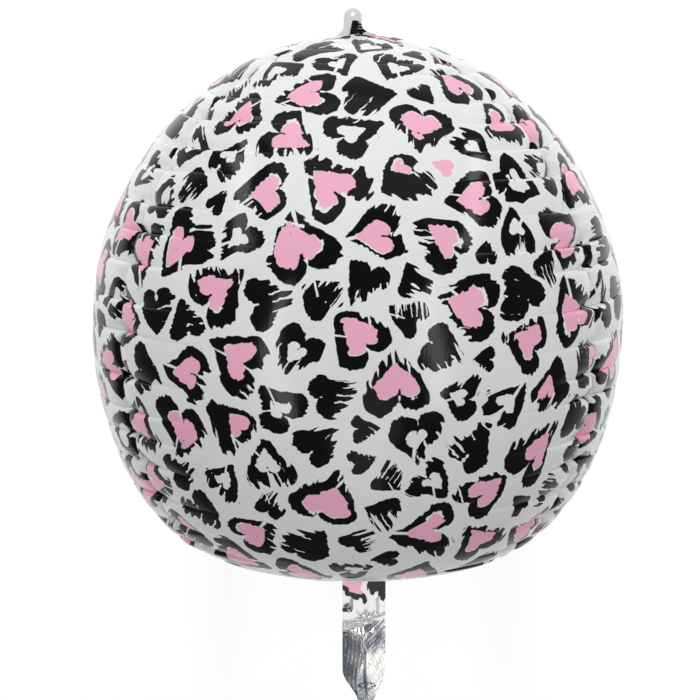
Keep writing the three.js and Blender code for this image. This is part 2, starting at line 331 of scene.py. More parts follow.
def seam_angle_at(angle, seam, count, radius):
    side = 1 if seam % 2 == 0 else -1
    swing = SEAM_SCALLOP * (pillow(count) - 0.5)
    return angle + side * swing / np.maximum(radius, SCALLOP_LEAST_RADIUS)


class Panel:
    """One foil gore between two seams."""

    def __init__(self, name, first_seam, last_seam, pucker_reach):
        turn = 2 * pi if first_seam > last_seam else 0
        self.name = name
        self.seams = (first_seam, last_seam)
        self.first = SEAM_ANGLES[first_seam] - turn
        self.last = SEAM_ANGLES[last_seam]
        self.pucker_reach = pucker_reach
        middle = (self.first + self.last) / 2
        shift = PANEL_GAP / 2 / sin((self.last - self.first) / 2)
        self.shift_x, self.shift_z = shift * sin(middle), shift * cos(middle)

    def points(self, count, across, relief):
        """Points of the film, for arrays of places along and across the panel."""
        places = [seam_place(count, seam) for seam in self.seams]
        share = between(places, smoothstep(across, 0, 1))
        radius, height, out_radius, out_height = meridian_at(share)
        edges = zip((self.first, self.last), self.seams)
        first, last = (seam_angle_at(edge, seam, count, radius) for edge, seam in edges)
        angle = first + (last - first) * across
        outward = 0 * across
        if relief:
            pull = self.pull(count, across, radius * (last - first))
            pull = pull - film_swell(radius, height, angle) * np.sin(pi * across)
            fade = np.maximum(0, np.sin(pi * share)) ** POLE_FADE_POWER
            outward = -pull * fade - pole_gathers(radius, angle)
        reach = np.maximum(radius + outward * out_radius, 0)
        return self.place(reach, height + outward * out_height, angle)

    def pull(self, count, across, width):
        """How deep both seams draw the film in."""
        total = 0
        for seam, share in zip(self.seams, (across, 1 - across)):
            distance = width * share
            pull = seam_pull(count, seam, distance, self.pucker_reach)
            pull = pull + groove_pull(count, seam, distance)
            total = total + (1 - share) * (pull + SEAM_SLIT_DEPTH * np.exp(-distance / SEAM_SLIT_WIDTH))
        return total

    def place(self, reach, height, angle):
        """Points in the scene, lifted to the floor where the balloon rests on its flat spot."""
        x = reach * np.sin(angle) + self.shift_x
        y = height + EQUATOR_PLACE
        z = reach * np.cos(angle) + self.shift_z + AXIS_HEIGHT
        return np.stack([x, y, np.maximum(z, 0)], axis=-1)


PANELS = (
    Panel("front_panel", 3, 0, WIDE_PUCKER_REACH),
    Panel("right_side_panel", 0, 1, SIDE_PUCKER_REACH),
    Panel("back_panel", 1, 2, WIDE_PUCKER_REACH),
    Panel("left_side_panel", 2, 3, SIDE_PUCKER_REACH),
)


def row_counts():
    """Places along the meridian, closer together at the creases."""
    steps = (1 - np.cos(np.linspace(0, pi, ROWS_PER_PUCKER + 1)[:-1])) / 2
    return (np.arange(PUCKER_COUNT)[:, None] + steps).ravel()[1:]


def column_shares(width):
    """Places across a panel, closer together at the seams."""
    places = [0.0]
    step = SEAM_COLUMN
    while places[-1] < width / 2:
        places.append(places[-1] + step)
        step = min(step * COLUMN_GROWTH, WIDEST_COLUMN)
    half = np.array(places) / places[-1] / 2
    return np.concatenate([half, 1 - half[-2::-1]])


# The print: heart spots, laid out anew for each panel

SPOTS_PER_SQUARE_METRE = 385
SPOT_GAP = 0.016
SPOT_MARGIN = 0.034
SPOT_CLEARANCE = 0.0020
SPREAD_DRAWS = 8
SPREAD_ENDS = (0.02, 0.98)
SPREAD_LIMITS = (0.01, 0.99)
SPREAD_TABLE = 701
SPREAD_STEPS = 140
SPREAD_RATE = 0.22
SPIN_CHOICES = 24
SPIN_SWEEPS = 3
SPIN_REACH = 0.10
SLOT_SWING = 0.75
SLOT_CHANCE = 0.7
SLOT_WIDTHS = (0.6, 1.2)
WINDOW_SLIP = 0.065
WINDOW_ASIDE = 0.20
WINDOW_RISES = (0.02, 0.14)
WINDOW_SHARES = (0.94, 1.06)
NO_WINDOW = 0.001
LAST_SEED = 20
NO_SPOT = (9, 9, 0)
PANEL_SEED, TAB_SEED, NECK_SEED, NECK_FOLD_SEED = 11, 8, 12, 8

# Discs that stand for a heart while it is turned: across, along, radius
HEART_DISCS = ((-0.24, 0.20, 0.26), (0.24, 0.20, 0.26), (0.0, -0.06, 0.27), (0.0, -0.32, 0.13))

SpotKind = namedtuple("SpotKind", "share size size_spread window pink brush slot")
SPOT_KINDS = {
    "pink_ring": SpotKind(0.37, 0.064, 0.12, 0.60, 1, 0.10, 0.024),
    "pink_window": SpotKind(0.07, 0.056, 0.06, 0.40, 1, 0.12, 0.0),
    "large_ring": SpotKind(0.04, 0.055, 0.08, 0.44, 0, 0.11, 0.028),
    "ring": SpotKind(0.15, 0.048, 0.10, 0.42, 0, 0.11, 0.032),
    "solid": SpotKind(0.16, 0.049, 0.14, 0.0, 0, 0.15, 0.0),
    "small_solid": SpotKind(0.09, 0.028, 0.14, 0.0, 0, 0.07, 0.0),
    "scribble": SpotKind(0.10, 0.034, 0.12, 0.0, 0, 0.30, 0.03),
    "small_pink": SpotKind(0.02, 0.022, 0.10, 1.6, 1, 0.04, 0.0),
}

# Spots on the tab and the neck: kind, x and y from the piece's foot, scale, spin
TAB_SPOTS = (
    ("solid", -0.0004, 0.0040, 0.44, 3.6),
    ("small_solid", 0.0035, 0.0285, 0.45, 0.4),
    ("small_pink", 0.0150, -0.0010, 0.5, 1.1),
)
NECK_SPOTS = (
    ("pink_ring", -0.0090, -0.0185, 0.84, 0.3),
    ("solid", 0.0165, -0.0220, 0.74, 2.8),
    ("scribble", -0.0180, -0.0530, 0.30, 1.0),
)


class Spots:
    """Heart spots with their places, directions and styles."""

    def __init__(self):
        self.rows = []

    def add(self, rng, centre, right, up, kind, scale, spin=0):
        style = SPOT_KINDS[kind]
        slot_turn = rng.uniform(-SLOT_SWING, SLOT_SWING) - pi / 2
        slot_width = style.slot * rng.uniform(*SLOT_WIDTHS) if rng.random() < SLOT_CHANCE else 0
        slip = WINDOW_SLIP if style.window < 1 else 0
        offset = rng.uniform(-slip, slip, 2)
        if kind == "pink_window":
            offset = (rng.choice([-WINDOW_ASIDE, WINDOW_ASIDE]), rng.uniform(*WINDOW_RISES))
        seed = rng.uniform(0, LAST_SEED)
        window = max(style.window * rng.uniform(*WINDOW_SHARES), NO_WINDOW)
        stroke = rng.uniform(0, 2 * pi)
        self.rows.append(dict(
            centre=centre, right=right, up=up, size=style.size * scale, spin=spin, seed=seed,
            ink=(window, style.pink, style.brush), slot=(slot_turn, slot_width),
            offset=(*offset, stroke),
        ))

    def column(self, name):
        return np.array([row[name] for row in self.rows], float)

    def directions(self, spin):
        """The hearts' own right and up, turned in the film by a spin each."""
        right, up = self.column("right"), self.column("up")
        cosine, sine = np.cos(spin)[:, None], np.sin(spin)[:, None]
        return right * cosine + up * sine, up * cosine - right * sine

    def discs(self, spin):
        """Discs that fill the hearts: their middles and radii, one row for each heart."""
        right, up = self.directions(spin)
        size = self.column("size")
        across, along, radius = np.array(HEART_DISCS).T
        step = across[:, None] * right[:, None] + along[:, None] * up[:, None]
        return self.column("centre")[:, None] + step * size[:, None, None], size[:, None] * radius

    def interlock(self, rng):
        """Turns each heart so that it keeps the most room to its neighbours."""
        spin = rng.uniform(0, 2 * pi, len(self.rows))
        centres = self.column("centre")
        for index in np.tile(np.arange(len(self.rows)), SPIN_SWEEPS):
            away = np.linalg.norm(centres - centres[index], axis=1)
            near = (away < SPIN_REACH) & (away > 0)
            middles, radii = self.discs(spin)
            others, other_radii = middles[near].reshape(-1, 3), radii[near].ravel()
            best = -np.inf
            for choice in spin[index] + np.arange(SPIN_CHOICES) * 2 * pi / SPIN_CHOICES:
                spin[index] = choice
                own, own_radii = (part[index] for part in self.discs(spin))
                room = np.linalg.norm(own[:, None] - others, axis=2) - own_radii[:, None]
                room = (room - other_radii).min() if len(others) else 0
                if room > best:
                    best, chosen = room, choice
            spin[index] = chosen
        for row, turn in zip(self.rows, spin):
            row["spin"] = turn


def spread(rng, radii, low, high):
    """Places along and angles round the panel for discs that push each other apart evenly."""
    run = rng.uniform(*SPREAD_ENDS, SPREAD_DRAWS * len(radii))
    run = run[rng.random(len(run)) < meridian_at(run)[0] / EQUATOR_RADIUS][: len(radii)]
    angle = rng.uniform(low, high, len(radii))
    table = np.linspace(0, 1, SPREAD_TABLE)
    table_radius, table_height = meridian_at(table)[:2]
    wanted = radii[:, None] + radii + SPOT_GAP
    itself = np.eye(len(radii))
    start = (low + high) / 2 - pi
    for _ in range(SPREAD_STEPS):
        radius, height = meridian_at(run)[:2]
        points = np.stack([radius * np.sin(angle), height, radius * np.cos(angle)], axis=-1)
        apart = points[:, None] - points
        distance = np.linalg.norm(apart, axis=2) + itself
        push = np.maximum(wanted - distance, 0) * (1 - itself)
        points = points + SPREAD_RATE * (apart / distance[:, :, None] * push[:, :, None]).sum(axis=1)
        angle = (np.arctan2(points[:, 0], points[:, 2]) - start) % (2 * pi) + start
        angle = np.clip(angle, low, high)
        reach = np.hypot(points[:, 0], points[:, 2])
        off = np.hypot(reach[:, None] - table_radius, points[:, 1, None] - table_height)
        run = np.clip(table[off.argmin(axis=1)], *SPREAD_LIMITS)
    return run, angle


def panel_spots(panel, seed):
    """Spots spread over a panel and a little past its seams, which cut some of them."""
    rng = np.random.default_rng(seed)
    margin = SPOT_MARGIN / EQUATOR_RADIUS
    low, high = panel.first - margin, panel.last + margin
    mean_width = (high - low) * EQUATOR_RADIUS * 2 / pi
    count = mean_width * MERIDIAN_LENGTH * SPOTS_PER_SQUARE_METRE
    kinds = []
    for kind, style in SPOT_KINDS.items():
        kinds += [kind] * round(count * style.share)
    scales = np.array([1 + SPOT_KINDS[kind].size_spread * rng.uniform(-1, 1) for kind in kinds])
    sizes = scales * np.array([SPOT_KINDS[kind].size for kind in kinds])
    run, angle = spread(rng, sizes / 2, low, high)
    radius, height, out_radius, out_height = meridian_at(run)
    points = panel.place(radius, height, angle)
    sine, cosine = np.sin(angle), np.cos(angle)
    out = np.stack([out_radius * sine, out_height, out_radius * cosine], axis=-1)
    right = np.stack([cosine, 0 * angle, -sine], axis=-1)
    spots = Spots()
    for row in zip(points, right, np.cross(out, right), kinds, scales):
        spots.add(rng, *row)
    spots.interlock(rng)
    return spots


def sheet_spots(foot, seed, rows):
    """Spots on a flat piece."""
    spots = Spots()
    rng = np.random.default_rng(seed)
    right, up = np.eye(3)[:2]
    for kind, x, y, scale, spin in rows:
        spots.add(rng, foot + (x, y, 0), right, up, kind, scale, spin)
    return spots


def print_spots(mesh, faces, points, spots):
    """Stores each face corner's place in its nearest spot, the spot's style and the room beyond it."""
    spin = spots.column("spin")
    right, up = spots.directions(spin)
    middles, radii = spots.discs(spin)
    away = np.full((len(points), len(spots.rows)), np.inf)
    for disc in range(len(HEART_DISCS)):
        reach = np.linalg.norm(points[:, None] - middles[:, disc], axis=2)
        away = np.minimum(away, reach - radii[:, disc])
    order = np.argpartition(away, 1, axis=1)[:, :2]
    nearest = away[faces].mean(axis=1).argmin(axis=1)[:, None]
    first, second = order[faces, 0], order[faces, 1]
    rival = np.where(first == nearest, away[faces, second], away[faces, first])
    room = (rival - away[faces, nearest]) / 2
    size = spots.column("size")[nearest]
    offset = points[faces] - spots.column("centre")[nearest]
    across = (offset * right[nearest]).sum(axis=-1) / size
    along = (offset * up[nearest]).sum(axis=-1) / size
    seed = spots.column("seed")[nearest] + 0 * across
    corner_vectors(mesh, "spot_place", np.stack([across, along, seed], axis=-1), NO_SPOT)
    for name in ("ink", "offset"):
        values = spots.column(name)[nearest] + 0 * across[..., None]
        corner_vectors(mesh, "spot_" + name, values, (1, 0, 0))
    slot = spots.column("slot")[nearest] + 0 * across[..., None]
    corner_vectors(mesh, "spot_slot", np.concatenate([slot, room[..., None]], axis=-1), (0, 0, 1))


def corner_vectors(mesh, name, values, rest):
    """Stores a vector for each corner of the mesh's first faces, and the same one for all the rest."""
    attribute = mesh.attributes.new(name, "FLOAT_VECTOR", "CORNER")
    flat = np.tile(np.array(rest, float), len(mesh.loops))
    flat[: values.size] = values.ravel()
    attribute.data.foreach_set("vector", flat)


# Meshes

def grid_quads(grid):
    """The faces between the points of a grid."""
    corners = [grid[:-1, :-1], grid[:-1, 1:], grid[1:, 1:], grid[1:, :-1]]
    return np.stack(corners, axis=-1).reshape(-1, 4)


def new_object(name, data):
    thing = bpy.data.objects.new(name, data)
    bpy.context.scene.collection.objects.link(thing)
    return thing


def make_piece(node, points, faces, material):
    mesh = bpy.data.meshes.new(node + "_film")
    mesh.from_pydata(points.tolist(), [], [list(map(int, face)) for face in faces])
    mesh.materials.append(material)
    piece = new_object(node + "_film", mesh)
    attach(piece, "root")
    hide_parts(node)
    return mesh


def rim_edges(rim):
    return list(zip(rim, rim[1:] + rim[:1]))


def sheet_piece(node, middle, over, rims, material, spots):
    """A thin sheet from its middle surface: both of its faces, then the sides along its rims."""
    half = np.array([0, 0, FILM_THICKNESS / 2])
    points = np.concatenate([middle + half, middle - half])
    count = len(middle)
    whole = np.concatenate([over, over[:, ::-1] + count])
    sides = [(b, a, a + count, b + count) for rim in rims for a, b in rim_edges(rim)]
    mesh = make_piece(node, points, [*whole.tolist(), *sides], material)
    print_spots(mesh, whole, points, spots)
    return mesh, whole


def panel_piece(panel, seed, material):
    shares = column_shares(EQUATOR_RADIUS * (panel.last - panel.first))
    count, across = np.meshgrid(row_counts(), shares, indexing="ij")
    ends = panel.place(np.zeros(3), np.array([-BOTTOM_HEIGHT, TOP_HEIGHT, 0]), np.zeros(3))
    points, smooth_points = (
        np.concatenate([panel.points(count, across, relief).reshape(-1, 3), ends])
        for relief in (True, False)
    )
    bottom, top, middle = count.size + np.arange(3)
    grid = np.arange(count.size).reshape(count.shape)
    quads = grid_quads(grid)
    caps = [(bottom, b, a) for a, b in zip(grid[0], grid[0, 1:])]
    caps += [(a, b, top) for a, b in zip(grid[-1], grid[-1, 1:])]
    first_edge = [bottom, *grid[:, 0], top]
    last_edge = [bottom, *grid[:, -1], top]
    walls = [(a, b, middle) for a, b in zip(first_edge, first_edge[1:])]
    walls += [(b, a, middle) for a, b in zip(last_edge, last_edge[1:])]
    faces = [*quads.tolist(), *caps, *walls]
    mesh = make_piece(panel.name, points, faces, material)
    flat = np.zeros(len(faces), bool)
    flat[len(quads) + len(caps):] = True
    mesh.attributes.new("sharp_face", "BOOLEAN", "FACE").data.foreach_set("value", flat)
    print_spots(mesh, quads, smooth_points, panel_spots(panel, seed))


# The hanging tab

def curve_points(start, middle, end, count):
    """Points of a quadratic curve, without its first one."""
    share = np.linspace(0, 1, count + 1)[1:, None]
    start, middle, end = np.array([start, middle, end])
    return (1 - share) ** 2 * start + 2 * share * (1 - share) * middle + share**2 * end


def arc_points(centre, radius, first, last, count):
    turn = np.linspace(first, last, count + 1)[1:]
    return centre + radius * np.stack([np.cos(turn), np.sin(turn)], axis=-1)


def tab_outline():
    """The tab's outline in the plane of the poles' axis, down to the envelope."""
    tip_radius = TAB_WIDTH / 2
    tip = TOP_HEIGHT + TAB_HEIGHT
    left, right = TAB_OFFSET - tip_radius, TAB_OFFSET + tip_radius
    flare = TAB_FLARE_WIDTH / 2
    foot = float(top_profile(flare))
    bend = TOP_HEIGHT + TAB_FLARE_HEIGHT / 4
    neck = TOP_HEIGHT + TAB_FLARE_HEIGHT
    x = np.linspace(-flare, flare, TAB_FOOT_POINTS)
    base = np.stack([x, top_profile(np.abs(x)) - TAB_SUNK], axis=-1)
    return np.concatenate([
        base,
        curve_points((flare, foot), (right, bend), (right, neck), TAB_FLARE_POINTS),
        arc_points((TAB_OFFSET, tip - tip_radius), tip_radius, 0, pi, TAB_TIP_POINTS),
        curve_points((left, neck), (left, bend), (-flare, foot), TAB_FLARE_POINTS),
    ])


def inside(points, outline):
    """Whether points lie inside a closed outline."""
    x, y = points[:, 0], points[:, 1]
    result = np.zeros(len(points), bool)
    for (x1, y1), (x2, y2) in zip(outline, np.roll(outline, -1, axis=0)):
        if y1 == y2:
            continue
        crosses = (y1 > y) != (y2 > y)
        result ^= crosses & (x < (x2 - x1) * (y - y1) / (y2 - y1) + x1)
    return result


def tab_lift(points):
    """How far the thin tab waves out of its plane, and how it curls at its edge."""
    x, y = points[:, 0] - TAB_OFFSET, points[:, 1] - TOP_HEIGHT
    lift = TAB_CURL * (x / TAB_WIDTH) ** 2
    for height, across, along in TAB_WAVES:
        lift = lift + height * np.sin(across * x + along * y)
    return lift


def tab_piece(material):
    outline = tab_outline()
    tip = TOP_HEIGHT + TAB_HEIGHT
    hole_middle = (TAB_OFFSET, tip - TAB_HOLE_DROP)
    hole = arc_points(hole_middle, TAB_HOLE_DIAMETER / 2, 0, -2 * pi, TAB_HOLE_POINTS)
    flare = TAB_FLARE_WIDTH / 2
    columns = np.arange(-flare, flare, TAB_STEP)
    x, y = np.meshgrid(columns, np.arange(TOP_HEIGHT - TAB_FOOT_DROP, tip, TAB_STEP))
    fill = np.stack([x.ravel(), y.ravel()], axis=-1)
    edge = np.concatenate([outline, hole])
    clear = np.linalg.norm(fill[:, None] - edge, axis=2).min(axis=1) > TAB_STEP / 2
    fill = fill[clear & inside(fill, outline) & ~inside(fill, hole)]
    points = np.concatenate([edge, fill])
    rims = [list(range(len(outline))), list(range(len(outline), len(edge)))]
    edges = rim_edges(rims[0]) + rim_edges(rims[1])
    result = delaunay_2d_cdt([Vector(point) for point in points], edges, [], 0, MERGE_DISTANCE)
    places = np.array([tuple(vertex) for vertex in result[0]])
    triangles = np.array(result[2])
    middles = places[triangles].mean(axis=1)
    triangles = triangles[inside(middles, outline) & ~inside(middles, hole)]
    height = AXIS_HEIGHT + tab_lift(places)
    middle = np.stack([places[:, 0], places[:, 1] + EQUATOR_PLACE, height], axis=-1)
    foot = np.array([0, EQUATOR_PLACE + TOP_HEIGHT, AXIS_HEIGHT])
    spots = sheet_spots(foot, TAB_SEED, TAB_SPOTS)
    sheet_piece("hanging_tab", middle, triangles, rims, material, spots)


# The filling neck

def fold(place):
    """Zigzag from 0 to 1 and back, for folds in the crinkled foil."""
    return 2 * np.abs(place - np.round(place))


def neck_crinkles(x, distance):
    """Facets of crumpled foil: sharp folds that run in every direction."""
    rng = np.random.default_rng(NECK_FOLD_SEED)
    lift = 0 * x
    for period, depth in NECK_FOLDS:
        turn = rng.uniform(0, pi)
        across, along = (rng.uniform(*limits) for limits in NECK_FOLD_WAVES)
        bend = NECK_FOLD_BEND * np.sin(x * across + distance * along)
        place = (x * cos(turn) + distance * sin(turn)) / period + bend + rng.uniform(0, 1)
        lift = lift + depth * (fold(place) - 0.5)
    return lift


def crinkle_strength(x, distance):
    """How crumpled the neck is at each place: least in the print, most in the upper right."""
    (right, all_right), (upper, all_lower) = NECK_UPPER_RIGHT
    upper_right = smoothstep(x, right, all_right) * (1 - smoothstep(distance, upper, all_lower))
    bare = smoothstep(distance, *NECK_BARE_START)
    return between(NECK_BARE_FOLDS, bare) * between(NECK_UPPER_RIGHT_FOLDS, upper_right)


def neck_ridge(x, distance):
    """The bare foil's fold, with a streaky slope on its left and a gentler one on its right."""
    height, turns = NECK_CREST_WAVE
    crest = NECK_CREST + height * np.sin(distance * turns)
    for shift, start, end in NECK_CREST_SHIFTS:
        crest = crest - shift * smoothstep(distance, start, end)
    aside = x - crest
    left = NECK_LEFT_SLOPE * np.minimum(aside + NECK_CREST_HALF_WIDTH, 0)
    slope = between(NECK_RIGHT_SLOPES, smoothstep(distance, *NECK_SLOPE_CHANGE))
    right = -slope * np.maximum(aside - NECK_CREST_HALF_WIDTH, 0)
    sway, turns = NECK_STREAK_SWAY
    streaks = (fold(x / NECK_STREAK_PERIOD + sway * np.sin(distance * turns)) - 0.5) * (aside < 0)
    groove = bell(x - NECK_GROOVE_PLACE, NECK_GROOVE_WIDTH) * smoothstep(distance, *NECK_GROOVE_START)
    return left + right + NECK_STREAK_DEPTH * streaks - NECK_GROOVE_DEPTH * groove


def neck_creases(x, distance):
    """Short pressed lines in the white film, and the oval weld near the open end."""
    lines = 0
    for line_x, low, high in NECK_FILM_LINES:
        started = smoothstep(distance, low - NECK_LINE_RUN_OUT, low)
        along = started * (1 - smoothstep(distance, high, high + NECK_LINE_RUN_OUT))
        lines = lines + along * bell(x - line_x, NECK_LINE_WIDTH)
    oval_x, oval_y, half_width, half_height = NECK_OVAL
    ring = np.hypot((x - oval_x) / half_width, (distance - oval_y) / half_height) - 1
    return -NECK_LINE_DEPTH * (lines + NECK_OVAL_DEPTH * bell(ring, NECK_OVAL_WIDTH))


def neck_star(x, distance):
    """Small folds and pressed rays that meet where the film is pinched."""
    star_x, star_y = x - NECK_STAR_PLACE[0], distance - NECK_STAR_PLACE[1]
    away = np.hypot(star_x, star_y)
    folds = fold(np.arctan2(star_y, star_x) * NECK_STAR_FOLDS / (2 * pi)) - 0.5
    star = NECK_STAR * folds * np.exp(-away / NECK_STAR_REACH) * np.minimum(away / NECK_STAR_EYE, 1)
    star = star * (1 - smoothstep(distance, *NECK_STAR_END))
    for ray_x, ray_y in NECK_STAR_RAYS:
        ray = smoothstep(star_x * ray_x + star_y * ray_y, *NECK_RAY_START)
        ray = ray * bell(star_x * ray_y - star_y * ray_x, NECK_LINE_WIDTH)
        star = star - NECK_LINE_DEPTH * ray
    return star


def neck_points(across, distance):
    """Middle of the neck's film, in the solid's place, with its folds."""
    taper = smoothstep(distance, NECK_TAPER_START, NECK_LENGTH)
    bare = smoothstep(distance, NECK_PINCH - NECK_PINCH_BLEND / 2, NECK_PINCH + NECK_PINCH_BLEND)
    half_width = between(NECK_WIDTHS, taper) / 2
    droop_share = np.maximum(0, distance - NECK_DROOP_START) / (NECK_LENGTH - NECK_DROOP_START)
    x = across * half_width
    lift = bare * (NECK_RIDGE + neck_ridge(x, distance))
    lift = lift + crinkle_strength(x, distance) * neck_crinkles(x, distance)
    lift = lift + neck_star(x, distance) + neck_creases(x, distance)
    return np.stack([
        NECK_OFFSET + NECK_END_SHIFT * taper + x,
        EQUATOR_PLACE - BOTTOM_HEIGHT - distance,
        AXIS_HEIGHT + lift - NECK_DROOP * droop_share**2,
    ], axis=-1)


def neck_piece(material):
    span = np.linspace(NECK_LENGTH, -NECK_ROOT, NECK_GRID[0])
    distance, across = np.meshgrid(span, np.linspace(-1, 1, NECK_GRID[1]), indexing="ij")
    middle = neck_points(across, distance).reshape(-1, 3)
    grid = np.arange(across.size).reshape(NECK_GRID)
    rim = [*grid[0], *grid[1:, -1], *grid[-1, -2::-1], *grid[-2:0:-1, 0]]
    foot = np.array([NECK_OFFSET, EQUATOR_PLACE - BOTTOM_HEIGHT, AXIS_HEIGHT])
    spots = sheet_spots(foot, NECK_SEED, NECK_SPOTS)
    over = grid_quads(grid)
    mesh, whole = sheet_piece("filling_neck", middle, over, [rim], material, spots)
    place = np.stack([across, distance, 0 * across], axis=-1).reshape(-1, 3)
    corner_vectors(mesh, "neck_place", place[whole % len(place)], (0, 0, 0))


# Shader nodes, written as sums

# The mix node's slots for colours
MIX_LOW, MIX_HIGH, MIX_RESULT = 6, 7, 2


def feed(tree, value, slot):
    """Links a wire or a socket to a slot, or sets the slot to a number or a colour."""
    if isinstance(value, Wire):
        value = value.socket
    if isinstance(value, bpy.types.NodeSocket):
        tree.links.new(value, slot)
    else:
        slot.default_value = (*value, 1) if isinstance(value, tuple) else value


def maths(operation):
    """A method that puts a wire and other numbers through a maths node."""
    def method(self, *others, clamp=False):
        node = self.tree.nodes.new("ShaderNodeMath")
        node.operation = operation
        node.use_clamp = clamp
        for slot, value in zip(node.inputs, (self, *others)):
            feed(self.tree, value, slot)
        return Wire(self.tree, node.outputs[0])

    return method


class Wire:
    """A number inside a shader."""

    def __init__(self, tree, socket):
        self.tree = tree
        self.socket = socket

    __add__ = maths("ADD")
    __sub__ = maths("SUBTRACT")
    __mul__ = maths("MULTIPLY")
    __truediv__ = maths("DIVIDE")
    absolute = maths("ABSOLUTE")
    below = maths("LESS_THAN")
    above = maths("GREATER_THAN")
    least = maths("MINIMUM")
    most = maths("MAXIMUM")
    root = maths("SQRT")
    power = maths("POWER")
    cosine = maths("COSINE")
    sine = maths("SINE")
    fraction = maths("FRACT")

    def clamped(self):
        return self.__add__(0.0, clamp=True)

    def ramp(self, gain, base):
        return (self * gain + base).clamped()

    def inside(self, softness=0.012):
        """1 where a distance is under 0, with a soft edge."""
        return self.ramp(-1 / softness, 0.5)


class Shader:
    """A material's node tree with one Principled shader."""

    def __init__(self, name):
        self.material = bpy.data.materials.new(name)
        self.material.use_nodes = True
        self.tree = self.material.node_tree
        self.surface = self.tree.nodes["Principled BSDF"]

    def add(self, kind, **inputs):
        node = self.tree.nodes.new(kind)
        for name, value in inputs.items():
            feed(self.tree, value, node.inputs[name])
        return node

    def split(self, kind, socket):
        node = self.add(kind)
        feed(self.tree, socket, node.inputs[0])
        return [Wire(self.tree, output) for output in node.outputs]

    def attribute(self, name):
        """The three numbers of a corner vector."""
        source = self.add("ShaderNodeAttribute")
        source.attribute_name = name
        return self.split("ShaderNodeSeparateXYZ", source.outputs["Vector"])

    def position(self):
        """The three coordinates of the surface, in metres."""
        source = self.add("ShaderNodeNewGeometry")
        return self.split("ShaderNodeSeparateXYZ", source.outputs["Position"])

    def noise_node(self, place, scales, detail=0.0):
        join = self.add("ShaderNodeCombineXYZ")
        for slot, value, scale in zip(join.inputs, place, scales):
            feed(self.tree, value * scale, slot)
        return self.add("ShaderNodeTexNoise", Scale=1, Detail=detail, Vector=join.outputs[0])

    def noise(self, place, scales, detail=0.0):
        return Wire(self.tree, self.noise_node(place, scales, detail).outputs["Fac"])

    def noise_pair(self, place, scales):
        colour = self.noise_node(place, scales).outputs["Color"]
        return self.split("ShaderNodeSeparateColor", colour)[:2]

    def mix(self, share, low, high):
        """A colour between two, each a socket or a plain colour."""
        node = self.add("ShaderNodeMix", Factor=share)
        node.data_type = "RGBA"
        feed(self.tree, low, node.inputs[MIX_LOW])
        feed(self.tree, high, node.inputs[MIX_HIGH])
        return node.outputs[MIX_RESULT]

    def film_texture(self):
        """Cloudy waves a few centimetres long and a fine grain, each about 0."""
        place = self.position()
        for scales, detail in FILM_NOISES:
            yield self.noise(place, scales, detail) - 0.5

    def link(self, value, slot):
        feed(self.tree, value, self.surface.inputs[slot])

    def bump(self, height, distance):
        node = self.add("ShaderNodeBump", Distance=distance, Height=height)
        self.link(node.outputs[0], "Normal")


# Heart spots, in widths of a heart. A noise has three frequencies, a ramp has a gain and a base
HEART_TIP = (0.0, -0.48)
HEART_LOBE = (0.25, 0.21)
HEART_RADII = (0.03, 0.25)
HEART_SIDE_POWER = 0.8
HEART_MIDDLE_RADIUS = 0.24
HEART_MIDDLE_DROP = 0.02
WARP_NOISE = (1.6, 1.6, 5)
WARP = 0.22
ROUGH_NOISE = (7.5, 7.5, 7)
ROUGH_EDGE = 0.06
ROUGH_SLOT = 0.03
ROUGH_COMB = 0.6
FINGER_NOISE = (1, 9.5, 9)
FINGER_RAMP = (5, -2.1)
FINGER_LEVEL = 0.55
SPIKY_RAMP = (1.6, 0.45)
FUR_NOISE = (3, 19, 3)
FUR_RAMP = (3, -0.4)
FUR_LENGTHS = (0.01, 0.08)
CROWDED_GAIN = 18
CROWDED_FINGERS = 0.03
TEETH_NOISE = (2, 11, 9)
TEETH_START = 3.5
TEETH_DEPTH = 0.24
WINDOW_FUR = 0.16
LEAST_WINDOW = 0.01
LEAST_SLOT = 0.001
SLOT_START = 0.05
COMB_FREQUENCIES = (6.5, 3)
COMB_HALF_WIDTH = 0.11
COMB_SOFTNESS = 0.05
SLIT_NOISE = (3, 6, 4)
SLIT_LEVEL = 0.46
SLIT_GAIN = 6
LONGEST_SLIT = 1.5
PINK_INSET = (-0.22, 0.03)

# Inks and films. A mottle is the share of the waves, of the grain, and a base
PINK_INK = (1.0, 0.50, 0.67)
BLACK_INK = (0.004, 0.004, 0.0045)
WHITE_INK = (0.91, 0.93, 0.915)
WHITE_INK_SHADE = (0.845, 0.865, 0.85)
WHITE_MOTTLE = (1.6, 0.5, 0.25)
WHITE_ROUGHNESS = 0.22
BLACK_ROUGHNESS = 0.12
PRINT_CLOUDS = 0.10
PEARL = 0.01
FILM_IOR = 1.35
FILM_SPECULAR = 0.26
FILM_NOISES = (((24, 24, 24), 2), ((700, 280, 700), 1))
WAVE_HEIGHT = 0.0005
GRAIN_SHARE = 0.03
FOIL_CRUMPLE = 0.0003
TAB_FILM = (0.95, 0.955, 0.95)
TAB_FILM_SHADE = (0.86, 0.87, 0.86)
TAB_MOTTLE = (2, 1, 0.4)
TAB_ROUGHNESS = 0.3
TAB_CLOUDS = 0.2
TAB_GRAIN = 0.2
TAB_CLEARNESS = 0.5
NECK_FILM = (0.97, 0.965, 0.95)
NECK_FILM_SILVER = 0.6
NECK_FILM_NOISE = (4, 160, 5)
NECK_FILM_RAGGED = 0.004
NECK_FILM_SLANT = 0.009
NECK_GRAIN = (0.1, 0.5)
NECK_ROUGHNESS = 0.18
NECK_CLOUDS = 0.12
# Painted reflections on the bare metal: a painted dark shade, painted highlights, and streaks between
# them that lean brighter towards the right
METAL_PAINTED_SHADE = (0.36, 0.40, 0.46)
METAL_PAINTED_HIGHLIGHT = (0.95, 0.93, 0.90)
PAINTED_REFLECTION_NOISE = (1.2, 40, 3)
PAINTED_REFLECTION_GAIN = 3
PAINTED_REFLECTION_LEAN = 0.8

